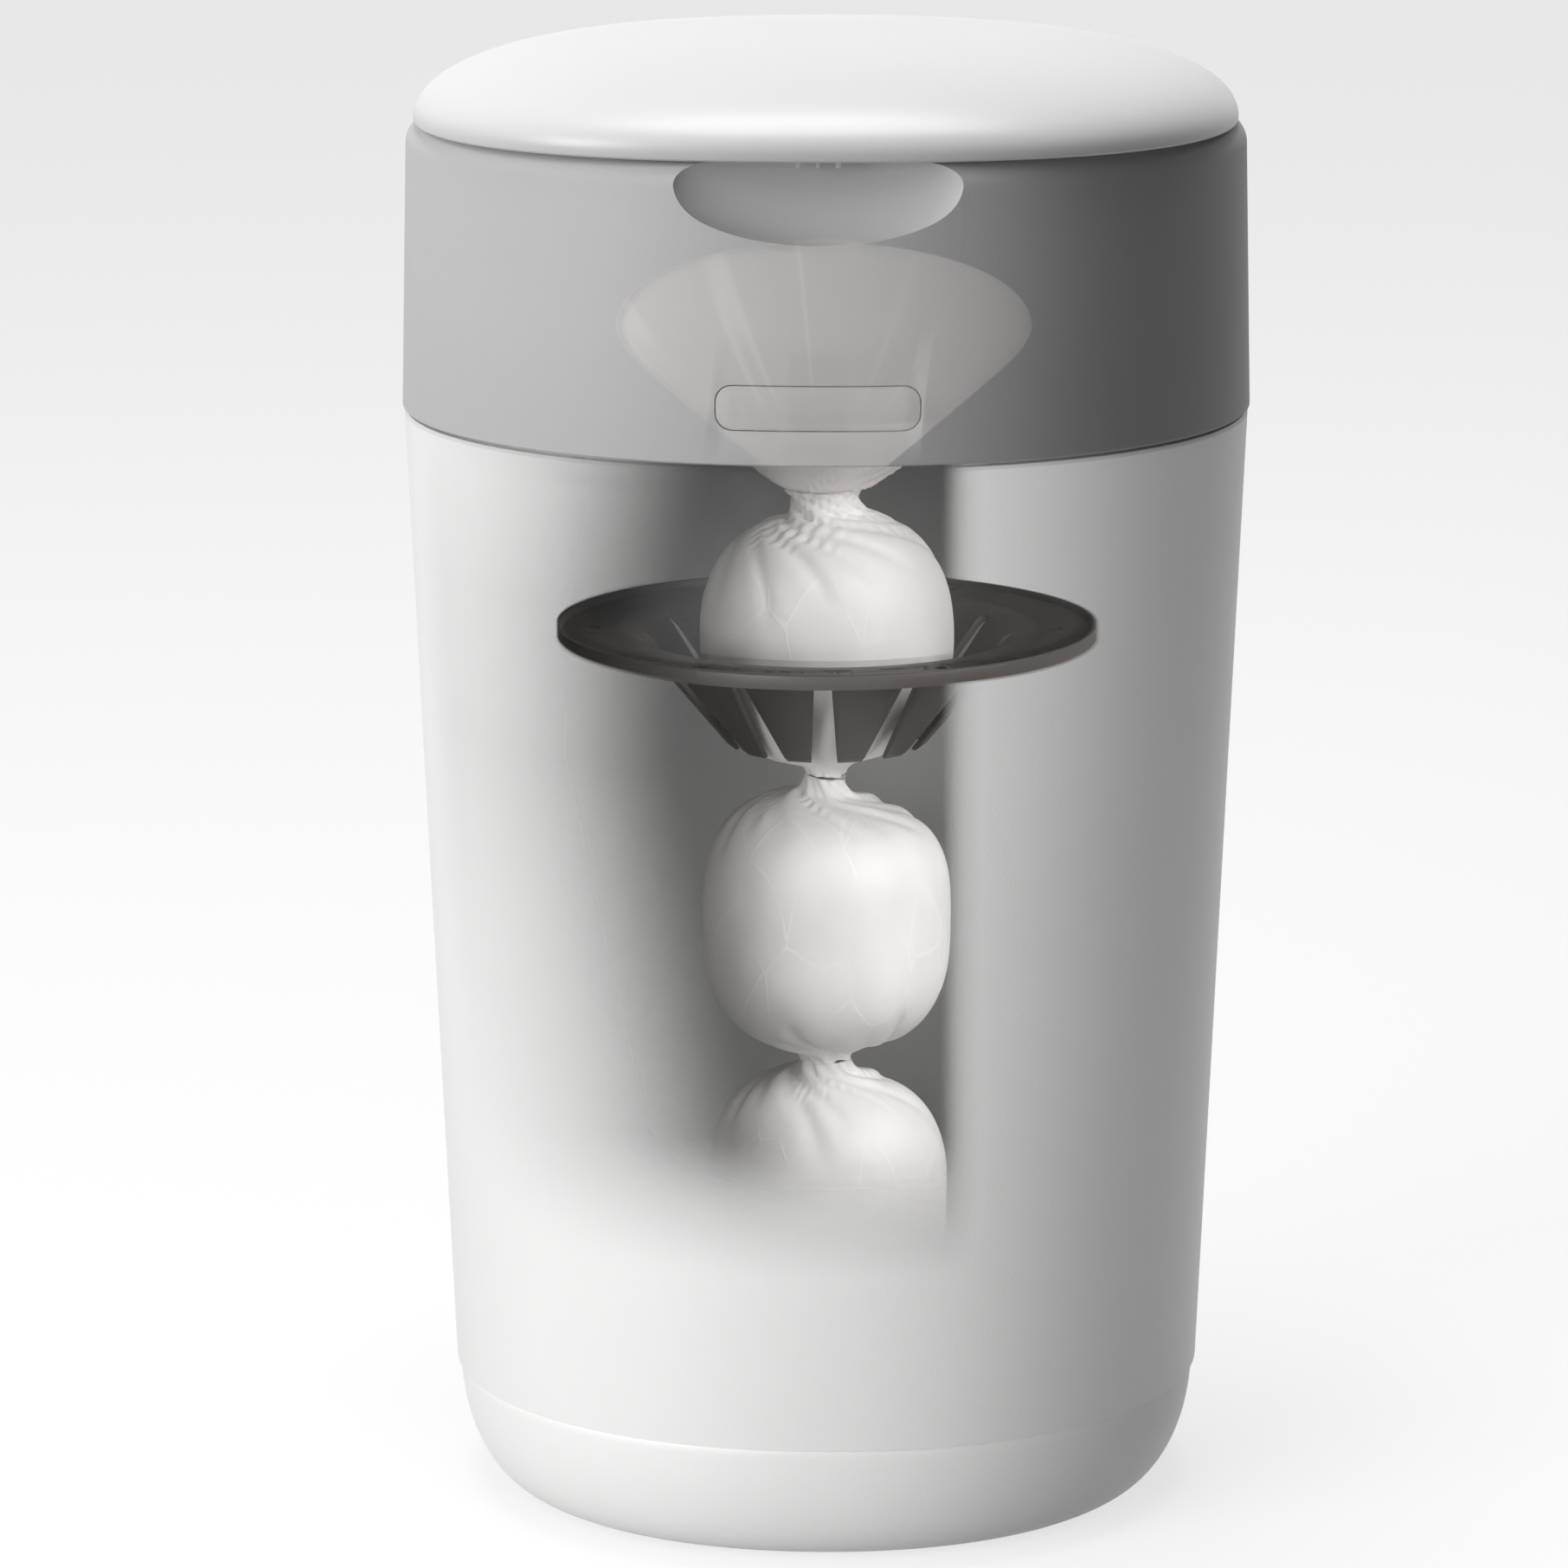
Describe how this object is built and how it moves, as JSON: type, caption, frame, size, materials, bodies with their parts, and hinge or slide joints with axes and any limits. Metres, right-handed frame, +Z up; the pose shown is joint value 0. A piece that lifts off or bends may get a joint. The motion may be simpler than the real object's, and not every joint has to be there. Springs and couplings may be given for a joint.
{
  "type": "nappy bin",
  "caption": "Free-standing nappy bin: tapering tub with a rounded base, hinged head with a twisting film refill, gripper ring and domed lid.",
  "frame": {"origin": "on the floor, under the middle of the collar's outline", "axes": "+Z up, the front with the finger scoop and the catch button faces -Y, +X to the right as seen from the front"},
  "size_m": [0.25, 0.2398, 0.438],
  "materials": {
    "white_plastic": "white moulded plastic with a fine satin grain",
    "base_plastic": "white moulded plastic, satin",
    "lid_plastic": "smooth white moulded plastic",
    "grey_plastic": "mid grey moulded plastic with a fine satin grain",
    "deck_plastic": "pale grey moulded plastic",
    "refill_plastic": "thin white moulded plastic",
    "dark_plastic": "dark warm grey flexible plastic, satin",
    "rubber": "soft dark rubber",
    "steel": "plain bright steel",
    "film": "thin translucent barrier film",
    "wrap_film": "thin wrinkled off-white film drawn over a filled wrap"
  },
  "bodies": {
    "tub": {"tub_shell": "white_plastic", "base_foot": "base_plastic", "foot_pads": "rubber", "base_screws": "steel", "head_hinge_pin": "steel", "bundle_middle": "wrap_film", "bundle_lower": "wrap_film", "film_knot": "wrap_film"},
    "head": {"collar_shell": "grey_plastic", "head_deck": "deck_plastic", "drop_sleeve": "deck_plastic", "gripper_ring": "dark_plastic", "gripper_screws": "steel", "pawl_pin": "steel", "catch_spring": "steel", "lid_hinge_pin": "steel", "bundle_upper": "wrap_film"},
    "catch": {"catch_button": "grey_plastic", "catch_hook": "deck_plastic"},
    "pawl": {"click_pawl": "dark_plastic"},
    "twist": {"twist_ring": "deck_plastic", "refill_cassette": "refill_plastic", "cassette_cap": "refill_plastic", "film_pack": "film", "film_funnel": "film"},
    "lid": {"lid_shell": "lid_plastic", "lid_liner": "lid_plastic", "lid_seal": "rubber", "cutter_housing": "deck_plastic", "cutter_blade": "steel"}
  },
  "joints": [
    {"name": "head_hinge", "type": "hinge", "parent": "tub", "child": "head", "pos_m": [0, 0.115, 0.3335], "axis": [-1, 0, 0], "range_deg": [0, 75]},
    {"name": "lid_hinge", "type": "hinge", "parent": "head", "child": "lid", "pos_m": [0, 0.11547, 0.4093], "axis": [-1, 0, 0], "range_deg": [0, 95]},
    {"name": "film_twist", "type": "hinge", "parent": "head", "child": "twist", "pos_m": [0, 0, 0.4], "axis": [0, 0, 1], "continuous": true},
    {"name": "catch_press", "type": "slide", "parent": "head", "child": "catch", "axis": [0, 1, 0], "range_m": [0, 0.0026], "stiffness_N_per_m": 1200},
    {"name": "pawl_click", "type": "hinge", "parent": "head", "child": "pawl", "pos_m": [-0.09007, 0.052, 0.395], "axis": [0, 0, 1], "range_deg": [0, 8], "stiffness_Nm_per_rad": 0.3}
  ]
}
